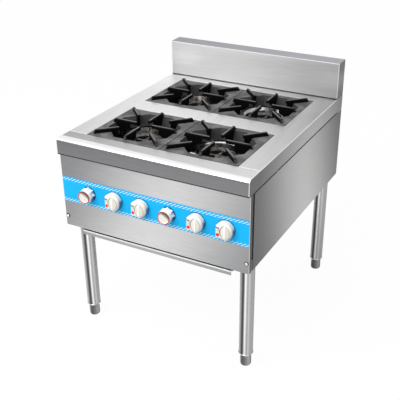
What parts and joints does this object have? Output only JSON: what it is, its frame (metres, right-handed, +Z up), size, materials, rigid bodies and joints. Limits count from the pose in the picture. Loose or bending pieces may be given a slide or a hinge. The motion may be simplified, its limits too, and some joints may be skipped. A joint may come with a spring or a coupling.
{
  "type": "commercial gas range",
  "caption": "Open stainless steel gas range on tube legs, with cast grates over ring burners, a backsplash, front control knobs and a pull-out drip tray.",
  "frame": {"origin": "on the floor, at the centre of the overall outline from the knob faces to the back", "axes": "+X to the cook's right, +Y from the front to the back, +Z up"},
  "size_m": [0.7, 0.8472, 0.874],
  "materials": {
    "stainless": "brushed",
    "leg_steel": "polished",
    "bright_ring": "bright",
    "frame_steel": "satin",
    "black_iron": "matt",
    "burner_iron": "rough",
    "brass": "turned",
    "gas_pipe": "galvanised",
    "blue_strip": "gloss",
    "knob_white": "gloss",
    "foot_grey": "satin"
  },
  "bodies": {
    "grate_front_left": {"grate_front_left": "black_iron"},
    "grate_front_right": {"grate_front_right": "black_iron"},
    "grate_rear_left": {"grate_rear_left": "black_iron"},
    "grate_rear_right": {"grate_rear_right": "black_iron"},
    "burner_knob_front_left": {"burner_knob_front_left": "knob_white", "burner_stem_front_left": "brass"},
    "burner_knob_front_right": {"burner_knob_front_right": "knob_white", "burner_stem_front_right": "brass"},
    "burner_knob_rear_left": {"burner_knob_rear_left": "knob_white", "burner_stem_rear_left": "brass"},
    "burner_knob_rear_right": {"burner_knob_rear_right": "knob_white", "burner_stem_rear_right": "brass"},
    "pilot_knob_left": {"pilot_knob_left": "knob_white", "pilot_stem_left": "brass"},
    "pilot_knob_right": {"pilot_knob_right": "knob_white", "pilot_stem_right": "brass"},
    "drip_tray": {"drip_tray": "stainless"},
    "foot_front_left": {"foot_front_left": "foot_grey"},
    "foot_front_right": {"foot_front_right": "foot_grey"},
    "foot_rear_left": {"foot_rear_left": "foot_grey"},
    "foot_rear_right": {"foot_rear_right": "foot_grey"},
    "cabinet": {"front_rail": "stainless", "top_sheet": "stainless", "backsplash": "stainless", "front_panel": "stainless", "left_side_panel": "stainless", "right_side_panel": "stainless", "rear_panel": "stainless", "control_strip": "blue_strip", "panel_screws": "leg_steel", "base_frame": "frame_steel", "corner_posts": "frame_steel", "burner_rails": "frame_steel", "burner_support_bars": "frame_steel", "leg_sockets": "frame_steel", "foot_collars": "leg_steel", "tray_runners": "stainless", "gas_manifold": "gas_pipe", "gas_inlet_pipe": "gas_pipe", "manifold_brackets": "frame_steel", "burner_heads": "burner_iron", "burner_rings": "bright_ring", "injectors": "brass", "burner_feed_tubes": "gas_pipe", "pilot_lines": "gas_pipe", "leg_front_left": "leg_steel", "leg_front_right": "leg_steel", "leg_rear_left": "leg_steel", "leg_rear_right": "leg_steel", "burner_valve_front_left": "brass", "burner_body_front_left": "burner_iron", "burner_valve_front_right": "brass", "burner_body_front_right": "burner_iron", "burner_valve_rear_left": "brass", "burner_body_rear_left": "burner_iron", "burner_valve_rear_right": "brass", "burner_body_rear_right": "burner_iron", "pilot_valve_left": "brass", "pilot_valve_right": "brass"}
  },
  "joints": [
    {"name": "grate_lift_front_left", "type": "slide", "parent": "cabinet", "child": "grate_front_left", "axis": [0, 0, 1], "range_m": [0, 0.08]},
    {"name": "grate_lift_front_right", "type": "slide", "parent": "cabinet", "child": "grate_front_right", "axis": [0, 0, 1], "range_m": [0, 0.08]},
    {"name": "grate_lift_rear_left", "type": "slide", "parent": "cabinet", "child": "grate_rear_left", "axis": [0, 0, 1], "range_m": [0, 0.08]},
    {"name": "grate_lift_rear_right", "type": "slide", "parent": "cabinet", "child": "grate_rear_right", "axis": [0, 0, 1], "range_m": [0, 0.08]},
    {"name": "burner_knob_turn_front_left", "type": "hinge", "parent": "cabinet", "child": "burner_knob_front_left", "pos_m": [-0.1393, -0.39365, 0.553], "axis": [0, -1, 0], "range_deg": [0, 90]},
    {"name": "burner_knob_turn_front_right", "type": "hinge", "parent": "cabinet", "child": "burner_knob_front_right", "pos_m": [0.1673, -0.39365, 0.553], "axis": [0, -1, 0], "range_deg": [0, 90]},
    {"name": "burner_knob_turn_rear_left", "type": "hinge", "parent": "cabinet", "child": "burner_knob_rear_left", "pos_m": [-0.0371, -0.39365, 0.553], "axis": [0, -1, 0], "range_deg": [0, 90]},
    {"name": "burner_knob_turn_rear_right", "type": "hinge", "parent": "cabinet", "child": "burner_knob_rear_right", "pos_m": [0.2695, -0.39365, 0.553], "axis": [0, -1, 0], "range_deg": [0, 90]},
    {"name": "pilot_knob_turn_left", "type": "hinge", "parent": "cabinet", "child": "pilot_knob_left", "pos_m": [-0.2415, -0.39365, 0.553], "axis": [0, -1, 0], "range_deg": [0, 270]},
    {"name": "pilot_knob_turn_right", "type": "hinge", "parent": "cabinet", "child": "pilot_knob_right", "pos_m": [0.0651, -0.39365, 0.553], "axis": [0, -1, 0], "range_deg": [0, 270]},
    {"name": "drip_tray_slide", "type": "slide", "parent": "cabinet", "child": "drip_tray", "axis": [0, -1, 0], "range_m": [0, 0.45]},
    {"name": "foot_screw_front_left", "type": "slide", "parent": "cabinet", "child": "foot_front_left", "axis": [0, 0, -1], "range_m": [0, 0.025]},
    {"name": "foot_screw_front_right", "type": "slide", "parent": "cabinet", "child": "foot_front_right", "axis": [0, 0, -1], "range_m": [0, 0.025]},
    {"name": "foot_screw_rear_left", "type": "slide", "parent": "cabinet", "child": "foot_rear_left", "axis": [0, 0, -1], "range_m": [0, 0.025]},
    {"name": "foot_screw_rear_right", "type": "slide", "parent": "cabinet", "child": "foot_rear_right", "axis": [0, 0, -1], "range_m": [0, 0.025]}
  ]
}
